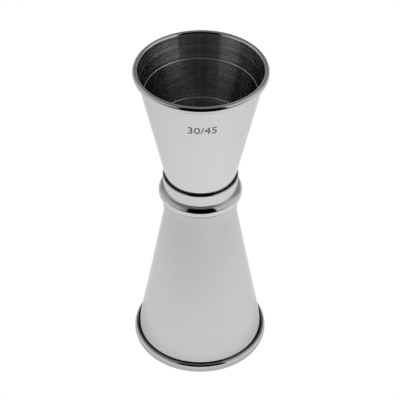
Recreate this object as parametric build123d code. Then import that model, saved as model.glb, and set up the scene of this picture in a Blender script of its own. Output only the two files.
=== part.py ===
from build123d import *
from dataclasses import dataclass
import math
import os

# A double-ended bar jigger: two drawn stainless cups, floor to floor, with a beaded collar round the waist.
# Millimetres. The origin is on the table, under the middle; +Z is up through the small measure.
# It stands on the curled rim of the large measure and is round about +Z all over.

# Sheet that both cups are drawn from, and how it is bent
SHEET = 0.7
FLOOR_CORNER = 1.3          # outside radius where a floor turns up into its wall
CURL_GAP = 0.3              # between the end of a curled rim and the wall
RIM_LAND = 0.5              # width of the ring that lapping leaves flat on a rim's crest

# Large measure, mouth down
LOWER_CUP_HEIGHT = 64.3     # rim crest to the outside of the floor
LOWER_RIM_RADIUS = 22.2     # out to the furthest point of the curled rim
LOWER_NECK_RADIUS = 9.75    # outside of the wall, carried on to the level of the floor's outside
LOWER_CURL_WIDTH = 1.8
LOWER_CURL_HEIGHT = 3.4

# Small measure, mouth up
UPPER_CUP_HEIGHT = 44.3
UPPER_RIM_RADIUS = 20.8
UPPER_NECK_RADIUS = 10.45
UPPER_CURL_WIDTH = 1.7
UPPER_CURL_HEIGHT = 2.4

# Measuring lines scribed inside, as heights above the outside of the cup's own floor
UPPER_LINE_HEIGHTS = (22.7, 35.7)
LOWER_LINE_HEIGHTS = (32.9, 50.3)
SCRIBE_WIDTH = 0.4
SCRIBE_DEPTH = 0.1

# Waist collar, placed from the plane where the two floors are joined
COLLAR_ABOVE_JOINT = 3.65
COLLAR_BELOW_JOINT = 8.3
COLLAR_WALL = 0.45
COLLAR_CLEARANCE = 0.35     # radial, between the bore's two ends and the necks
COLLAR_OUTER_CORNER = 0.2
COLLAR_INNER_CORNER = 0.15
SKIRT_FLARE = 0.45          # how far the collar opens out, from the foot of its bead to its lower end
BEAD_BELOW_JOINT = 2.7      # to the middle of the bead
BEAD_PROJECTION = 1.6
BEAD_HALF_HEIGHT = 2.55
BEAD_FOOT_RADIUS = 0.3

# Brazing filler
FLOOR_FILM = 0.2            # between the two floors
FLOOR_FILM_MARGIN = 0.3     # from the film's edge to where the smaller floor starts to turn up
RING_RECESS = 1.2           # from the collar's end to the filler
RING_DEPTH = 1.6


@dataclass(frozen=True)
class Cup:
    """One measure in its own frame: the floor's outside is at height 0 and the rim's crest is at the top."""

    height: float
    rim_radius: float
    neck_radius: float
    curl_width: float
    curl_height: float
    line_heights: tuple

    @property
    def curl_half_width(self):
        return self.curl_width / 2

    @property
    def curl_half_height(self):
        return self.curl_height / 2

    @property
    def land_half_angle(self):
        """Half the stretch of the curl's ellipse that the flat land takes away."""
        return math.asin(RIM_LAND / self.curl_width)

    @property
    def curl_centre(self):
        crest = self.curl_half_height * math.cos(self.land_half_angle)
        return (self.rim_radius - self.curl_half_width, self.height - crest)

    @property
    def slope(self):
        """How much the wall's radius grows per unit of height, so that its inside face runs into the curl."""
        centre_radius, centre_height = self.curl_centre
        slope = 0.0
        for _ in range(12):
            inset = SHEET * math.hypot(1, slope)
            reach = math.hypot(self.curl_half_width, self.curl_half_height * slope)
            slope = (centre_radius - self.neck_radius + inset - reach) / centre_height
        return slope

    def outside(self, height):
        return self.neck_radius + self.slope * height

    def inside(self, height):
        return self.outside(height) - SHEET * math.hypot(1, self.slope)

    @property
    def flat_floor_radius(self):
        """Where the floor's outside stops being flat and starts to turn up."""
        lean = math.atan(self.slope)
        return self.neck_radius - FLOOR_CORNER * math.tan((math.pi / 2 - lean) / 2)


LOWER = Cup(
    LOWER_CUP_HEIGHT,
    LOWER_RIM_RADIUS,
    LOWER_NECK_RADIUS,
    LOWER_CURL_WIDTH,
    LOWER_CURL_HEIGHT,
    LOWER_LINE_HEIGHTS,
)
UPPER = Cup(
    UPPER_CUP_HEIGHT,
    UPPER_RIM_RADIUS,
    UPPER_NECK_RADIUS,
    UPPER_CURL_WIDTH,
    UPPER_CURL_HEIGHT,
    UPPER_LINE_HEIGHTS,
)

# Levels that the pieces share
LOWER_FLOOR_Z = LOWER.height
UPPER_FLOOR_Z = LOWER_FLOOR_Z + FLOOR_FILM
COLLAR_TOP_Z = UPPER_FLOOR_Z + COLLAR_ABOVE_JOINT
COLLAR_BOTTOM_Z = LOWER_FLOOR_Z - COLLAR_BELOW_JOINT
BEAD_Z = LOWER_FLOOR_Z - BEAD_BELOW_JOINT


def lower_outside(z):
    """Radius of the large measure's outer face at a level of the whole jigger."""
    return LOWER.outside(LOWER_FLOOR_Z - z)


def upper_outside(z):
    """Radius of the small measure's outer face at a level of the whole jigger."""
    return UPPER.outside(z - UPPER_FLOOR_Z)


# The collar's bore fits each neck at its own end. It tapers evenly down to the foot of the bead, and
# there the skirt opens out from that taper. BORE_BOTTOM is the taper carried on without the skirt.
BORE_BOTTOM = lower_outside(COLLAR_BOTTOM_Z) + COLLAR_CLEARANCE - SKIRT_FLARE
BORE_TOP = upper_outside(COLLAR_TOP_Z) + COLLAR_CLEARANCE
BORE_TAPER = math.atan2(BORE_TOP - BORE_BOTTOM, COLLAR_TOP_Z - COLLAR_BOTTOM_Z)
SKIRT_HEIGHT = (BEAD_Z - COLLAR_BOTTOM_Z) / math.cos(BORE_TAPER) - BEAD_HALF_HEIGHT
SKIRT_TOP_Z = COLLAR_BOTTOM_Z + SKIRT_HEIGHT * math.cos(BORE_TAPER)


def bore_at(z):
    """Radius of the collar's bore at a level of the whole jigger."""
    taper_radius = BORE_BOTTOM + (z - COLLAR_BOTTOM_Z) * math.tan(BORE_TAPER)
    skirt_lean = BORE_TAPER - math.atan(SKIRT_FLARE / SKIRT_HEIGHT)
    skirt_top_radius = BORE_BOTTOM + SKIRT_HEIGHT * math.sin(BORE_TAPER)
    return max(taper_radius, skirt_top_radius + (z - SKIRT_TOP_Z) * math.tan(skirt_lean))


def turned(section):
    """Solid of revolution about Z of a face drawn as (radius, height)."""
    return revolve(Plane.XZ * section, Axis.Z)


def curl_end_angle(cup):
    """Where the curl stops, short of the wall, as an angle round the curl's ellipse."""
    centre_radius, centre_height = cup.curl_centre
    lean = math.atan2(cup.slope * cup.curl_half_height, cup.curl_half_width)
    reach = math.hypot(cup.curl_half_width, cup.slope * cup.curl_half_height)
    offset = CURL_GAP + cup.outside(centre_height) - centre_radius
    return -math.degrees(math.acos(offset / reach) + lean)


def cup_body(cup):
    """The drawn cup: floor, conical wall and a rim curled outwards and down, back towards the wall."""
    land = math.degrees(cup.land_half_angle)
    lean = math.degrees(math.atan2(cup.slope * cup.curl_half_height, cup.curl_half_width))
    start = 180 - lean
    end = curl_end_angle(cup)
    crest_in = 90 + land
    crest_out = 90 - land

    outer_size = (cup.curl_half_width, cup.curl_half_height)
    inner_size = (cup.curl_half_width - SHEET, cup.curl_half_height - SHEET)
    rise = EllipticalCenterArc(cup.curl_centre, *outer_size, start, arc_size=crest_in - start)
    fall = EllipticalCenterArc(cup.curl_centre, *outer_size, crest_out, arc_size=end - crest_out)
    back = EllipticalCenterArc(cup.curl_centre, *inner_size, end, arc_size=start - end)

    inner_corner = (cup.inside(SHEET), SHEET)
    outer_corner = (cup.outside(0), 0)
    inner_face = FilletPolyline((0, SHEET), inner_corner, rise @ 0, radius=FLOOR_CORNER - SHEET)
    outer_face = FilletPolyline(back @ 1, outer_corner, (0, 0), radius=FLOOR_CORNER)
    outline = [
        inner_face,
        rise,
        Line(rise @ 1, fall @ 0),
        fall,
        Line(fall @ 1, back @ 0),
        back,
        outer_face,
        Line((0, 0), (0, SHEET)),
    ]
    return turned(make_face(outline))


def scribed_line(cup, height):
    """The ring that a scriber takes out of the inside of the wall."""
    half_width = SCRIBE_WIDTH / 2
    tip_radius = (half_width**2 + SCRIBE_DEPTH**2) / (2 * SCRIBE_DEPTH)
    setback = tip_radius - SCRIBE_DEPTH
    lean = math.atan(cup.slope)
    ring_radius = cup.inside(height) - setback * math.cos(lean)
    ring_height = height + setback * math.sin(lean)
    return Pos(0, 0, ring_height) * Torus(ring_radius, tip_radius)


def cup_solid(cup):
    body = cup_body(cup)
    for height in cup.line_heights:
        body -= scribed_line(cup, height)
    return body


def upper_cup():
    """Small measure, mouth up, its floor over the film of filler."""
    return Pos(0, 0, UPPER_FLOOR_Z) * cup_solid(UPPER)


def lower_cup():
    """Large measure, mouth down, its rim on the table."""
    return Pos(0, 0, LOWER_FLOOR_Z) * Rot(180, 0, 0) * cup_solid(LOWER)


def waist_collar():
    """Thin sleeve round both necks, with rounded ends, one round bead and a skirt that opens out below it.

    It is drawn upright, with the foot of its bore's taper at the origin, and then leant over to that taper.
    """
    length = (COLLAR_TOP_Z - COLLAR_BOTTOM_Z) / math.cos(BORE_TAPER)
    bead_middle = (BEAD_Z - COLLAR_BOTTOM_Z) / math.cos(BORE_TAPER)
    bead_top = bead_middle + BEAD_HALF_HEIGHT
    bead_bottom = bead_middle - BEAD_HALF_HEIGHT
    flank = 2 * math.atan(BEAD_PROJECTION / BEAD_HALF_HEIGHT)
    flank_degrees = math.degrees(flank)
    crown_radius = BEAD_HALF_HEIGHT / math.sin(flank) - BEAD_FOOT_RADIUS
    crown_centre = COLLAR_WALL + BEAD_PROJECTION - crown_radius
    foot_centre = COLLAR_WALL + BEAD_FOOT_RADIUS
    skirt = math.atan(SKIRT_FLARE / SKIRT_HEIGHT)

    upper_end = FilletPolyline(
        (0, bead_bottom),
        (0, length),
        (COLLAR_WALL, length),
        (COLLAR_WALL, bead_top),
        radius=(COLLAR_INNER_CORNER, COLLAR_OUTER_CORNER),
    )
    upper_foot = CenterArc((foot_centre, bead_top), BEAD_FOOT_RADIUS, 180, arc_size=flank_degrees)
    crown = CenterArc((crown_centre, bead_middle), crown_radius, flank_degrees, arc_size=-2 * flank_degrees)
    lower_foot = CenterArc(
        (foot_centre, bead_bottom),
        BEAD_FOOT_RADIUS,
        180 - flank_degrees,
        arc_size=flank_degrees + math.degrees(skirt),
    )
    skirt_start = lower_foot @ 1
    lower_end = FilletPolyline(
        skirt_start,
        (skirt_start.X + skirt_start.Y * math.tan(skirt), 0),
        (SKIRT_FLARE, 0),
        (0, bead_bottom),
        radius=(COLLAR_OUTER_CORNER, COLLAR_INNER_CORNER),
    )
    upright = make_face([upper_end, upper_foot, crown, lower_foot, lower_end])
    return turned(Pos(BORE_BOTTOM, COLLAR_BOTTOM_Z) * Rot(0, 0, -math.degrees(BORE_TAPER)) * upright)


def floor_braze():
    """Film of filler between the two floors."""
    radius = min(LOWER.flat_floor_radius, UPPER.flat_floor_radius) - FLOOR_FILM_MARGIN
    film = Cylinder(radius, FLOOR_FILM, align=(Align.CENTER, Align.CENTER, Align.MIN))
    return Pos(0, 0, LOWER_FLOOR_Z) * film


def collar_braze(shallow_z, deep_z, neck_at):
    """Ring of filler that fills the wedge between the collar's bore and a neck, from one level to another."""
    low_z = min(shallow_z, deep_z)
    high_z = max(shallow_z, deep_z)
    turn_z = min(max(SKIRT_TOP_Z, low_z), high_z)
    bore_levels = sorted({low_z, turn_z, high_z})
    bore_side = [(bore_at(z), z) for z in bore_levels]
    outline = Polyline((neck_at(low_z), low_z), *bore_side, (neck_at(high_z), high_z), close=True)
    return turned(make_face(outline))


def upper_collar_braze():
    shallow_z = COLLAR_TOP_Z - RING_RECESS
    return collar_braze(shallow_z, shallow_z - RING_DEPTH, upper_outside)


def lower_collar_braze():
    shallow_z = COLLAR_BOTTOM_Z + RING_RECESS
    return collar_braze(shallow_z, shallow_z + RING_DEPTH, lower_outside)


PIECES = (upper_cup, lower_cup, waist_collar, floor_braze, upper_collar_braze, lower_collar_braze)

os.makedirs("parts", exist_ok=True)
for piece in PIECES:
    export_step(piece(), f"parts/{piece.__name__}.step")
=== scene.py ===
import math

import bmesh
import bpy
from mathutils import Matrix, Vector


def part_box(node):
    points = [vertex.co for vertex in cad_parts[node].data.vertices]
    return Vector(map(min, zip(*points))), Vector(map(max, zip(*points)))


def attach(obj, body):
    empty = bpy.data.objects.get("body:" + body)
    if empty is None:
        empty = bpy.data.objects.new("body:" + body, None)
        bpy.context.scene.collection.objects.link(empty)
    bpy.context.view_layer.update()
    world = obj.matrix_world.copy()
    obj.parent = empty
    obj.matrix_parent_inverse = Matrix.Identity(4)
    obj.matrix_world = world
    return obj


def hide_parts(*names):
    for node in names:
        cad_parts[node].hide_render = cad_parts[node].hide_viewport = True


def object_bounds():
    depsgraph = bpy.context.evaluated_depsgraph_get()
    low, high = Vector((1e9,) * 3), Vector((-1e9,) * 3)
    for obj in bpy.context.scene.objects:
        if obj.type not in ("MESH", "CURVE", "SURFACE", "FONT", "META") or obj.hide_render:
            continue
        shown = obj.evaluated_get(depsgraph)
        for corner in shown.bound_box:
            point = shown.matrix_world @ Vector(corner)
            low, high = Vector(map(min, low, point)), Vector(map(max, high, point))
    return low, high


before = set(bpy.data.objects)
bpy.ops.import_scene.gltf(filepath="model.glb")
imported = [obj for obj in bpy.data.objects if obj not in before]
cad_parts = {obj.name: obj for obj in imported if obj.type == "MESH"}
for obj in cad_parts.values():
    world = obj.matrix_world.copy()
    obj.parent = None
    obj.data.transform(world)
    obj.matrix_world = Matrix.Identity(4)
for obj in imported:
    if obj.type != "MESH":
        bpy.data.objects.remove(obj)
cad_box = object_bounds()

# A double-ended bar jigger in polished stainless steel. Metres, in the frame of the CAD model.
# Every turned piece is drawn as a half section of (radius, height) and spun about Z.

MM = 0.001

# Sheet that both measures are drawn from, and how it is bent
SHEET = 0.7 * MM
FLOOR_CORNER = 1.3 * MM
CURL_GAP = 0.3 * MM
RIM_LAND = 0.5 * MM

# The curled rims and the necks, as the CAD model has them
SMALL = {
    "curl_width": 1.7 * MM,
    "curl_height": 2.4 * MM,
    "neck_radius": 10.45 * MM,
    "lines": (22.7 * MM, 35.7 * MM),
}
LARGE = {
    "curl_width": 1.8 * MM,
    "curl_height": 3.4 * MM,
    "neck_radius": 9.75 * MM,
    "lines": (32.9 * MM, 50.3 * MM),
}

# Scribed measuring lines
SCRIBE_WIDTH = 0.4 * MM
SCRIBE_DEPTH = 0.1 * MM

# Waist collar
COLLAR_ABOVE_JOINT = 3.65 * MM
COLLAR_BELOW_JOINT = 8.3 * MM
COLLAR_WALL = 0.45 * MM
COLLAR_CLEARANCE = 0.35 * MM
COLLAR_OUTER_CORNER = 0.2 * MM
COLLAR_INNER_CORNER = 0.15 * MM
SKIRT_FLARE = 0.45 * MM
BEAD_BELOW_JOINT = 2.7 * MM
BEAD_PROJECTION = 1.6 * MM
BEAD_HALF_HEIGHT = 2.55 * MM
BEAD_FOOT_RADIUS = 0.3 * MM

# How finely the round stretches and the turn itself are divided
AROUND = 320
SHARP_EDGE = math.radians(40)
ARC_STEP = math.radians(5)
WALL_STEP = 1.5 * MM

# Material slots: most of a piece takes the first
MAIN = 0
INSIDE, LINE = 1, 2                  # the others of a measure
SKIRT = 1                            # the other one of the collar

# The capacities in ml, marked on the front of the small measure
MARK_TEXT = "30/45"
MARK_WIDTH = 8.8 * MM
MARK_MIDDLE = 34.0 * MM              # above the measure's floor
MARK_TURN = math.radians(1.6)        # to the right of the front
MARK_THICKNESS = 0.03 * MM
MARK_STRIPS = 24                     # that the flat numerals are cut into, to bend round the wall


# ---------------------------------------------------------------- sections


def ellipse_arc(centre, half_width, half_height, start, end):
    """Points along an ellipse from one angle to another, both in radians round the ellipse."""
    steps = max(2, math.ceil(abs(end - start) / ARC_STEP))
    points = []
    for i in range(steps + 1):
        angle = start + (end - start) * i / steps
        points.append((centre[0] + half_width * math.cos(angle), centre[1] + half_height * math.sin(angle)))
    return points


def round_arc(centre, radius, start, end):
    return ellipse_arc(centre, radius, radius, start, end)


def straight(start, end):
    """Points along a straight stretch, close enough together for an even mesh."""
    start, end = Vector(start), Vector(end)
    steps = max(1, round((end - start).length / WALL_STEP))
    return [tuple(start.lerp(end, i / steps)) for i in range(steps + 1)]


def corner(before, point, after, radius):
    """Points round a corner between two straight stretches."""
    before, point, after = Vector(before), Vector(point), Vector(after)
    to_before = (before - point).normalized()
    to_after = (after - point).normalized()
    half_turn = to_before.angle(to_after) / 2
    middle = (to_before + to_after).normalized()
    centre = point + middle * (radius / math.sin(half_turn))
    from_point = point + to_before * (radius / math.tan(half_turn))
    till_point = point + to_after * (radius / math.tan(half_turn))
    start = math.atan2(from_point.y - centre.y, from_point.x - centre.x)
    end = math.atan2(till_point.y - centre.y, till_point.x - centre.x)
    if end - start > math.pi:
        end -= 2 * math.pi
    if start - end > math.pi:
        end += 2 * math.pi
    return round_arc(tuple(centre), radius, start, end)


class Section:
    """A half section as one run of points, with a material slot for each stretch of it."""

    def __init__(self):
        self.points = []
        self.slots = []

    def add(self, points, slot=MAIN):
        for point in points:
            if self.points and math.dist(self.points[-1], point) < 1e-7:
                continue
            if self.points:
                self.slots.append(slot)
            self.points.append(point)


def spin(name, section, height_at, closed=False):
    """Mesh object of a section spun about Z. height_at turns a section height into a model height.

    A closed section is a ring in itself, and its last point is joined to its first.
    """
    vertices, faces, slots = [], [], []
    rings = []
    for radius, height in section.points:
        z = height_at(height)
        if radius < 1e-7:
            rings.append([len(vertices)])
            vertices.append((0, 0, z))
            continue
        ring = []
        for i in range(AROUND):
            angle = 2 * math.pi * i / AROUND
            ring.append(len(vertices))
            vertices.append((radius * math.cos(angle), radius * math.sin(angle), z))
        rings.append(ring)
    pairs = list(zip(rings, rings[1:], section.slots))
    if closed:
        pairs.append((rings[-1], rings[0], section.slots[-1]))
    for first, second, slot in pairs:
        for i in range(AROUND):
            j = (i + 1) % AROUND
            if len(first) == 1:
                face = (first[0], second[j], second[i])
            elif len(second) == 1:
                face = (first[i], first[j], second[0])
            else:
                face = (first[i], first[j], second[j], second[i])
            faces.append(face)
            slots.append(slot)
    mesh = bpy.data.meshes.new(name)
    mesh.from_pydata(vertices, [], faces)
    mesh.polygons.foreach_set("material_index", slots)
    mesh.polygons.foreach_set("use_smooth", [True] * len(faces))
    mesh.update()
    piece = bpy.data.objects.new(name, mesh)
    bpy.context.scene.collection.objects.link(piece)
    face_outwards(mesh)
    mesh.set_sharp_from_angle(angle=SHARP_EDGE)
    return piece


def face_outwards(mesh):
    """Turns a closed mesh's faces to point out of its material."""
    shape = bmesh.new()
    shape.from_mesh(mesh)
    bmesh.ops.recalc_face_normals(shape, faces=shape.faces)
    shape.to_mesh(mesh)
    shape.free()


# ---------------------------------------------------------------- a measure


class Measure:
    """One cup in its own section: the floor's outside is at height 0 and the rim's crest is at the top."""

    def __init__(self, node, sizes, mouth_up):
        low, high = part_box(node)
        self.height = high[2] - low[2]
        self.rim_radius = high[0]
        self.floor_z = low[2] if mouth_up else high[2]
        self.direction = 1 if mouth_up else -1
        self.half_width = sizes["curl_width"] / 2
        self.half_height = sizes["curl_height"] / 2
        self.neck_radius = sizes["neck_radius"]
        self.lines = sizes["lines"]
        self.land_angle = math.asin(RIM_LAND / sizes["curl_width"])
        crest = self.half_height * math.cos(self.land_angle)
        self.curl_centre = (self.rim_radius - self.half_width, self.height - crest)
        self.slope = self.find_slope()

    def find_slope(self):
        """How much the wall's radius grows per unit of height, so that its inside runs into the curl."""
        slope = 0.0
        for _ in range(12):
            inset = SHEET * math.hypot(1, slope)
            reach = math.hypot(self.half_width, self.half_height * slope)
            slope = (self.curl_centre[0] - self.neck_radius + inset - reach) / self.curl_centre[1]
        return slope

    def z(self, height):
        return self.floor_z + self.direction * height

    def outside(self, height):
        return self.neck_radius + self.slope * height

    def inside(self, height):
        return self.outside(height) - SHEET * math.hypot(1, self.slope)

    def scribe(self, height):
        """Points down and up the round groove of one measuring line, on the inside of the wall."""
        half_width = SCRIBE_WIDTH / 2
        tip_radius = (half_width**2 + SCRIBE_DEPTH**2) / (2 * SCRIBE_DEPTH)
        setback = tip_radius - SCRIBE_DEPTH
        lean = math.atan(self.slope)
        centre = (self.inside(height) - setback * math.cos(lean), height + setback * math.sin(lean))
        spread = math.acos(setback / tip_radius)
        return round_arc(centre, tip_radius, -lean - spread, -lean + spread)

    def section(self):
        lean = math.atan2(self.slope * self.half_height, self.half_width)
        reach = math.hypot(self.half_width, self.slope * self.half_height)
        offset = CURL_GAP + self.outside(self.curl_centre[1]) - self.curl_centre[0]
        start = math.pi - lean
        end = -math.acos(offset / reach) - lean
        crest_in = math.pi / 2 + self.land_angle
        crest_out = math.pi / 2 - self.land_angle

        section = Section()
        foot = (self.inside(SHEET), SHEET)
        rise = ellipse_arc(self.curl_centre, self.half_width, self.half_height, start, crest_in)
        section.add(straight((0, SHEET), (foot[0] - 3 * SHEET, SHEET)), INSIDE)
        section.add(corner((0, SHEET), foot, rise[0], FLOOR_CORNER - SHEET), INSIDE)
        for height in self.lines:
            groove = self.scribe(height)
            section.add(straight(section.points[-1], groove[0])[1:], INSIDE)
            section.add(groove, LINE)
        section.add(straight(section.points[-1], rise[0])[1:], INSIDE)
        section.add(rise)
        section.add(ellipse_arc(self.curl_centre, self.half_width, self.half_height, crest_out, end))
        inner = (self.half_width - SHEET, self.half_height - SHEET)
        back = ellipse_arc(self.curl_centre, *inner, end, start)
        section.add(back)
        shoulder = corner(back[-1], (self.outside(0), 0), (0, 0), FLOOR_CORNER)
        section.add(straight(back[-1], shoulder[0]))
        section.add(shoulder)
        section.add(straight(shoulder[-1], (0, 0)))
        return section


def turned_measure(name, measure, finishes):
    piece = spin(name, measure.section(), measure.z)
    for finish in finishes:
        piece.data.materials.append(finish)
    return piece


# ---------------------------------------------------------------- waist collar


def collar_section(small, large):
    """The sleeve, its bead and its skirt, drawn upright and leant over to the taper of the necks."""
    low = large.floor_z - COLLAR_BELOW_JOINT
    high = small.floor_z + COLLAR_ABOVE_JOINT
    bore_low = large.outside(COLLAR_BELOW_JOINT) + COLLAR_CLEARANCE - SKIRT_FLARE
    bore_high = small.outside(COLLAR_ABOVE_JOINT) + COLLAR_CLEARANCE
    taper = math.atan2(bore_high - bore_low, high - low)
    length = (high - low) / math.cos(taper)
    bead = (large.floor_z - BEAD_BELOW_JOINT - low) / math.cos(taper)
    flank = 2 * math.atan(BEAD_PROJECTION / BEAD_HALF_HEIGHT)
    crown_radius = BEAD_HALF_HEIGHT / math.sin(flank) - BEAD_FOOT_RADIUS
    crown_centre = (COLLAR_WALL + BEAD_PROJECTION - crown_radius, bead)
    foot_x = COLLAR_WALL + BEAD_FOOT_RADIUS
    upper_foot = round_arc((foot_x, bead + BEAD_HALF_HEIGHT), BEAD_FOOT_RADIUS, math.pi, math.pi + flank)
    skirt_top = bead - BEAD_HALF_HEIGHT
    skirt = math.atan(SKIRT_FLARE / skirt_top)
    lower_foot = round_arc((foot_x, skirt_top), BEAD_FOOT_RADIUS, math.pi - flank, math.pi + skirt)
    top_in, top_out = (0, length), (COLLAR_WALL, length)
    start = (0, skirt_top)
    foot_in = (SKIRT_FLARE, 0)
    foot_out = (lower_foot[-1][0] + lower_foot[-1][1] * math.tan(skirt), 0)

    upright = Section()
    upright.add(straight(start, (0, length - COLLAR_INNER_CORNER)))
    upright.add(corner(start, top_in, top_out, COLLAR_INNER_CORNER))
    upright.add(corner(top_in, top_out, upper_foot[0], COLLAR_OUTER_CORNER))
    upright.add(straight(upright.points[-1], upper_foot[0]))
    upright.add(upper_foot)
    upright.add(round_arc(crown_centre, crown_radius, flank, -flank))
    upright.add(lower_foot)
    upright.add(corner(lower_foot[-1], foot_out, foot_in, COLLAR_OUTER_CORNER), SKIRT)
    upright.add(corner(foot_out, foot_in, start, COLLAR_INNER_CORNER), SKIRT)
    upright.add(straight(upright.points[-1], start), SKIRT)

    leant = Section()
    leant.slots = upright.slots
    for x, y in upright.points:
        radius = bore_low + x * math.cos(taper) + y * math.sin(taper)
        leant.points.append((radius, low - x * math.sin(taper) + y * math.cos(taper)))
    leant.points.pop()      # it is the first point again
    return leant


# ---------------------------------------------------------------- capacity mark


def flat_numerals():
    """Mesh of the numerals, lying flat and centred, one unit wide, with their thickness from 0 to 1."""
    curve = bpy.data.curves.new("numerals", "FONT")
    curve.body = MARK_TEXT
    curve.extrude = 0.5
    curve.resolution_u = 6
    text = bpy.data.objects.new("numerals", curve)
    bpy.context.scene.collection.objects.link(text)
    graph = bpy.context.evaluated_depsgraph_get()
    mesh = bpy.data.meshes.new_from_object(text.evaluated_get(graph))
    bpy.data.objects.remove(text)
    bpy.data.curves.remove(curve)
    low = [min(v.co[i] for v in mesh.vertices) for i in range(3)]
    high = [max(v.co[i] for v in mesh.vertices) for i in range(3)]
    width = high[0] - low[0]
    for vertex in mesh.vertices:
        x, y, z = vertex.co
        vertex.co = ((x - (low[0] + high[0]) / 2) / width, (y - (low[1] + high[1]) / 2) / width, z - low[2])
    return mesh


def capacity_mark(name, measure, finish):
    """The numerals laid round the outside of a measure, facing -Y."""
    mesh = flat_numerals()
    mesh.name = name
    shape = bmesh.new()
    shape.from_mesh(mesh)
    bmesh.ops.remove_doubles(shape, verts=shape.verts, dist=1e-5)
    for i in range(1, MARK_STRIPS):
        everything = shape.verts[:] + shape.edges[:] + shape.faces[:]
        cut = (i / MARK_STRIPS - 0.5, 0, 0)
        bmesh.ops.bisect_plane(shape, geom=everything, plane_co=cut, plane_no=(1, 0, 0))
    middle_radius = measure.outside(MARK_MIDDLE)
    for vertex in shape.verts:
        x, y, z = vertex.co
        height = MARK_MIDDLE + y * MARK_WIDTH * math.cos(math.atan(measure.slope))
        radius = measure.outside(height) + z * MARK_THICKNESS
        angle = x * MARK_WIDTH / middle_radius + MARK_TURN - math.pi / 2
        vertex.co = (radius * math.cos(angle), radius * math.sin(angle), measure.z(height))
    bmesh.ops.recalc_face_normals(shape, faces=shape.faces)
    shape.to_mesh(mesh)
    shape.free()
    mesh.materials.clear()
    mesh.materials.append(finish)
    piece = bpy.data.objects.new(name, mesh)
    bpy.context.scene.collection.objects.link(piece)
    return piece


# ---------------------------------------------------------------- node graphs


class Graph:
    """Short calls that add nodes to a tree and return the socket that holds their result."""

    def __init__(self, tree):
        self.tree = tree

    def node(self, kind, inputs=None, **settings):
        made = self.tree.nodes.new(kind)
        for key, value in settings.items():
            setattr(made, key, value)
        for key, value in (inputs or {}).items():
            self.feed(made.inputs[key], value)
        return made

    def feed(self, socket, value):
        if isinstance(value, bpy.types.NodeSocket):
            self.tree.links.new(value, socket)
        else:
            socket.default_value = value

    def math(self, operation, first, second=0.0):
        made = self.node("ShaderNodeMath", operation=operation)
        self.feed(made.inputs[0], first)
        self.feed(made.inputs[1], second)
        return made.outputs[0]

    def spread(self, value, start, end, low=0.0, high=1.0):
        """low where value is at start, high where it is at end, and a smooth change between."""
        inputs = {"Value": value, "From Min": start, "From Max": end, "To Min": low, "To Max": high}
        made = self.node("ShaderNodeMapRange", inputs, interpolation_type="SMOOTHSTEP")
        return made.outputs["Result"]

    def between(self, value, start, end, soft):
        """1 between start and end, falling to 0 over a soft edge outside each."""
        return self.math(
            "MULTIPLY",
            self.spread(value, start - soft, start),
            self.spread(value, end, end + soft, 1.0, 0.0),
        )

    def axes(self, vector):
        return self.node("ShaderNodeSeparateXYZ", {"Vector": vector}).outputs

    def noise(self, vector, scale, detail=2.0, roughness=0.5):
        inputs = {"Vector": vector, "Scale": scale, "Detail": detail, "Roughness": roughness}
        return self.node("ShaderNodeTexNoise", inputs).outputs["Fac"]

    def stretched(self, across, along):
        """Object coordinates scaled across the axis and along it, so that noise on them runs in rings."""
        place = self.node("ShaderNodeTexCoord").outputs["Object"]
        inputs = {0: place, 1: (across, across, along)}
        return self.node("ShaderNodeVectorMath", inputs, operation="MULTIPLY").outputs[0]


# ---------------------------------------------------------------- materials

STEEL_SHADE = 0.6
# A darker copy of the polished steel, for the large measure and the collar's skirt: painted shade
LARGE_PAINTED_SHADE = 0.54
EDGE_TINT = (0.85, 0.85, 0.85, 1)    # what the steel keeps of its reflection at a glancing angle
MIRROR_ROUGHNESS = 0.06
FINE_BRUSH = 0.0002 * MM

# Noise in the finish: how often it changes per metre round the piece, and how far apart its rings are
HAIR_LINE = 0.02 * MM
RIPPLE_ACROSS = 60
RIPPLE_PITCH = 0.1 * MM
STREAK_ACROSS = 120
STREAK_PITCH = 0.5 * MM
CLOUD_SCALE = 90
SCUFF_ACROSS = 500
SCUFF_PITCH = 0.4 * MM
SCUFF_ROUGHNESS = 0.06


def hair_lines(graph, normal, tilt):
    """A normal leant up or down by a different amount on every hair line round the axis."""
    place = graph.node("ShaderNodeTexCoord").outputs["Object"]
    line = graph.math("FLOOR", graph.math("DIVIDE", graph.axes(place)[2], HAIR_LINE))
    grain = graph.node("ShaderNodeTexWhiteNoise", {"W": line}, noise_dimensions="1D").outputs["Color"]
    third = (1 / 3, 1 / 3, 1 / 3)
    even = graph.node("ShaderNodeVectorMath", {0: grain, 1: third}, operation="DOT_PRODUCT").outputs["Value"]
    lean = graph.math("MULTIPLY", graph.math("SUBTRACT", even, 0.5), tilt)
    lift = graph.node("ShaderNodeCombineXYZ", {"Z": lean}).outputs[0]
    leant = graph.node("ShaderNodeVectorMath", {0: normal, 1: lift}, operation="ADD").outputs[0]
    return graph.node("ShaderNodeVectorMath", {0: leant}, operation="NORMALIZE").outputs[0]


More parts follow.
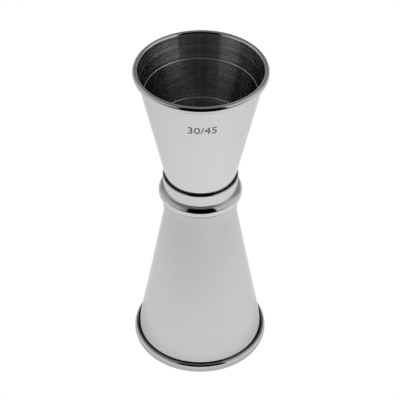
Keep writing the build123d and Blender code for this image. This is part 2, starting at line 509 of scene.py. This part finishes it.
def steel(name, shade, roughness, brush, anisotropy=0.0, line_pitch=RIPPLE_PITCH, tilt=0.0, uneven=0.012):
    """Stainless steel whose finish runs in rings.

    brush is how deep the ripples of the finish are, line_pitch how far apart they are, and uneven how far
    its tone varies. tilt is how far each hair line of a satin finish leans the surface up or down, which
    spreads a reflection along the axis and leaves it sharp around it.
    """
    material = bpy.data.materials.new(name)
    material.use_nodes = True
    graph = Graph(material.node_tree)
    shader = material.node_tree.nodes["Principled BSDF"]
    rings = graph.noise(graph.stretched(RIPPLE_ACROSS, 1 / line_pitch), 1.0, detail=3.0, roughness=0.6)
    cloud = graph.noise(graph.stretched(CLOUD_SCALE, CLOUD_SCALE), 1.0, detail=2.0)
    streaks = graph.noise(graph.stretched(STREAK_ACROSS, 1 / STREAK_PITCH), 1.0, detail=2.0)
    tone = graph.math("ADD", graph.math("MULTIPLY", streaks, 0.5), graph.math("MULTIPLY", cloud, 0.5))
    darkest = (shade * (1 - uneven),) * 3 + (1,)
    lightest = (shade * (1 + uneven),) * 3 + (1,)
    between_tones = {"Factor": graph.spread(tone, 0.3, 0.7), "A": darkest, "B": lightest}
    colour = graph.node("ShaderNodeMix", between_tones, data_type="RGBA")
    mix_output = [o for o in colour.outputs if o.type == "RGBA"][0]
    graph.feed(shader.inputs["Base Color"], mix_output)
    marks = graph.noise(graph.stretched(SCUFF_ACROSS, 1 / SCUFF_PITCH), 1.0)
    scuffs = graph.spread(marks, 0.55, 0.75, 0.0, SCUFF_ROUGHNESS)
    even_roughness = graph.spread(rings, 0.2, 0.8, roughness * 0.8, roughness * 1.2)
    graph.feed(shader.inputs["Roughness"], graph.math("ADD", even_roughness, scuffs))
    bump = graph.node("ShaderNodeBump", {"Height": rings, "Strength": 1.0, "Distance": brush})
    normal = bump.outputs["Normal"]
    if tilt:
        normal = hair_lines(graph, normal, tilt)
    graph.feed(shader.inputs["Normal"], normal)
    shader.inputs["Metallic"].default_value = 1.0
    shader.inputs["Specular Tint"].default_value = EDGE_TINT
    if anisotropy:
        tangent = graph.node("ShaderNodeTangent", direction_type="RADIAL", axis="Z")
        graph.feed(shader.inputs["Tangent"], tangent.outputs["Tangent"])
        shader.inputs["Anisotropic"].default_value = anisotropy
        shader.inputs["Anisotropic Rotation"].default_value = 0.25      # a quarter turn, to along the axis
    return material


# ---------------------------------------------------------------- the pieces

polished = steel("polished_steel", STEEL_SHADE, MIRROR_ROUGHNESS, brush=FINE_BRUSH)
polished_painted_shade = steel("polished_steel_painted_shade", LARGE_PAINTED_SHADE, MIRROR_ROUGHNESS, brush=FINE_BRUSH)
satin = steel("satin_steel", 0.44, 0.17, brush=FINE_BRUSH, anisotropy=1.0, tilt=1.0, uneven=0.3)
# The scribed lines are steel drawn brighter than the rest of the steel: a painted highlight along each line
scribed_painted_highlight = steel("scribed_steel_painted_highlight", 0.85, 0.25, brush=FINE_BRUSH)
etched = steel("etched_steel", 0.10, 0.45, brush=0.002 * MM)
# Near-black filler: painted shade in the crevices of the joints
filler = steel("silver_filler_painted_shade", 0.22, 0.4, brush=0.004 * MM, line_pitch=0.4 * MM)

small = Measure("upper_cup", SMALL, mouth_up=True)
large = Measure("lower_cup", LARGE, mouth_up=False)

small_piece = turned_measure("small_measure", small, (polished, satin, scribed_painted_highlight))
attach(small_piece, "root")
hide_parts("upper_cup")

large_piece = turned_measure("large_measure", large, (polished_painted_shade, satin, scribed_painted_highlight))
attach(large_piece, "root")
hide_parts("lower_cup")

collar_piece = spin("beaded_collar", collar_section(small, large), lambda z: z, closed=True)
# The collar's skirt takes the darker copy of the steel, painted shade that matches the large measure beside
# it
collar_piece.data.materials.append(polished)
collar_piece.data.materials.append(polished_painted_shade)
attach(collar_piece, "root")
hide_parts("waist_collar")

mark_piece = capacity_mark("capacity_mark", small, etched)
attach(mark_piece, "root")

# The filler inside the joints keeps its CAD shape, and is drawn near black: painted shade of the crevices it
# lies in
for node in ("floor_braze", "upper_collar_braze", "lower_collar_braze"):
    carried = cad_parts[node].data
    carried.materials.clear()
    carried.materials.append(filler)


# ---------------------------------------------------------------- floor, light and camera

height = cad_box[1][2]
DISC_RADIUS = 30 * height
DISC_SIDES = 96
FLOOR_Z = -0.2 * MM
TABLE_Z = -0.1 * MM


def disc(name, z):
    """A flat stage disc under the jigger."""
    mesh = bpy.data.meshes.new(name)
    turns = [2 * math.pi * i / DISC_SIDES for i in range(DISC_SIDES)]
    rim = [(DISC_RADIUS * math.cos(turn), DISC_RADIUS * math.sin(turn), z) for turn in turns]
    mesh.from_pydata(rim, [], [tuple(range(DISC_SIDES))])
    made = bpy.data.objects.new(name, mesh)
    bpy.context.scene.collection.objects.link(made)
    return made


def glow(name):
    """A material that only gives off light, and its graph and strength socket."""
    material = bpy.data.materials.new(name)
    material.use_nodes = True
    material.node_tree.nodes.clear()
    graph = Graph(material.node_tree)
    light = graph.node("ShaderNodeEmission")
    output = graph.node("ShaderNodeOutputMaterial")
    material.node_tree.links.new(light.outputs[0], output.inputs["Surface"])
    return material, graph, light.inputs["Strength"]


# The pale floor that the camera sees
floor = disc("floor", FLOOR_Z)
floor_material, _, floor_strength = glow("pale_floor")
floor_strength.default_value = 1.0
floor.data.materials.append(floor_material)
floor.visible_glossy = False

# The same floor as the steel sees it: brightest round the jigger, with a painted contact shadow right at its
# foot, and ending in the dark towards -Y.
# Distances are in metres.
table = disc("lit_table", TABLE_Z)
table_material, table_graph, table_strength = glow("lit_table")
place = table_graph.node("ShaderNodeTexCoord").outputs["Object"]
x, y, _ = table_graph.axes(place)
away = table_graph.node("ShaderNodeVectorMath", {0: place}, operation="LENGTH").outputs["Value"]
# Dimmer within a few millimetres of the jigger's foot: a painted contact shadow in the floor the steel
# reflects
painted_contact_shadow = table_graph.spread(away, 0.022, 0.036, 0.75, 1.0)
near = table_graph.math("MULTIPLY", painted_contact_shadow, table_graph.spread(away, 0.05, 0.13, 1.04, 0.92))
far = table_graph.spread(away, 0.13, 0.50, 1.0, 0.66)
side = table_graph.spread(x, -0.12, 0.12, 0.95, 1.03)
front_edge = table_graph.spread(y, -0.27, -0.22)
by_distance = table_graph.math("MULTIPLY", near, far)
by_place = table_graph.math("MULTIPLY", side, front_edge)
bright = table_graph.math("MULTIPLY", by_distance, by_place)
table_graph.feed(table_strength, bright)
table.data.materials.append(table_material)
table.visible_camera = False
table.visible_diffuse = False

# The studio round it, in degrees of turn from -Y and of rise above the floor. Each panel has the turns it
# starts and ends at, the width of its soft edges, the rises between which it fades out, and its strength.
BACK_RISE = (0, 45)
BACK_STRENGTH = (0.40, 0.20)
PANELS = (
    (-110, -62, 26, 28, 58, 0.25),
    (48, 95, 30, 45, 68, 0.42),
    (-177, -170, 5, 25, 40, 0.3),
)
DARK_OPENING = (-32, 38, 6, 48, 66)


def lit_area(turn_from, turn_to, soft, fade_from, fade_to):
    """1 inside a stretch of the studio's wall and 0 outside it."""
    across = sky.between(turn, turn_from, turn_to, soft)
    return sky.math("MULTIPLY", across, sky.spread(rise, fade_from, fade_to, 1.0, 0.0))


world = bpy.data.worlds.new("studio")
bpy.context.scene.world = world
world.use_nodes = True
sky = Graph(world.node_tree)
background = world.node_tree.nodes["Background"]
direction = sky.node("ShaderNodeTexCoord").outputs["Generated"]
x, y, z = sky.axes(direction)
turn = sky.math("MULTIPLY", sky.math("ARCTAN2", x, sky.math("MULTIPLY", y, -1.0)), 180 / math.pi)
rise = sky.math("MULTIPLY", sky.math("ARCSINE", z), 180 / math.pi)
lit = sky.spread(rise, *BACK_RISE, *BACK_STRENGTH)
for *area, panel_strength in PANELS:
    lit = sky.math("ADD", lit, sky.math("MULTIPLY", lit_area(*area), panel_strength))
studio = sky.math("MULTIPLY", lit, sky.math("SUBTRACT", 1.0, lit_area(*DARK_OPENING)))
seen = sky.node("ShaderNodeLightPath").outputs["Is Camera Ray"]
strength = sky.math("MAXIMUM", studio, seen)
sky.feed(background.inputs["Strength"], strength)
background.inputs["Color"].default_value = (1, 1, 1, 1)

CAMERA_DISTANCE = 4.896 * height
CAMERA_ELEVATION = math.radians(40.06)
LOOK_AT = Vector((0, 0, 0.5218 * height))
CAMERA_ROLL = math.radians(0.24)
CAMERA_SHIFT = -0.001
LENS = 149.0
SENSOR = 36

camera_data = bpy.data.cameras.new("camera")
camera_data.sensor_width = SENSOR
camera_data.lens = LENS
camera_data.shift_x = CAMERA_SHIFT
camera_data.clip_start = 0.01
camera_data.clip_end = 20
camera = bpy.data.objects.new("camera", camera_data)
bpy.context.scene.collection.objects.link(camera)
towards = Vector((0, -math.cos(CAMERA_ELEVATION), math.sin(CAMERA_ELEVATION)))
camera.location = LOOK_AT + CAMERA_DISTANCE * towards
facing = towards.to_track_quat("Z", "Y").to_matrix()
camera.rotation_euler = (facing @ Matrix.Rotation(CAMERA_ROLL, 3, "Z")).to_euler()
bpy.context.scene.camera = camera
bpy.context.scene.view_settings.view_transform = "Standard"
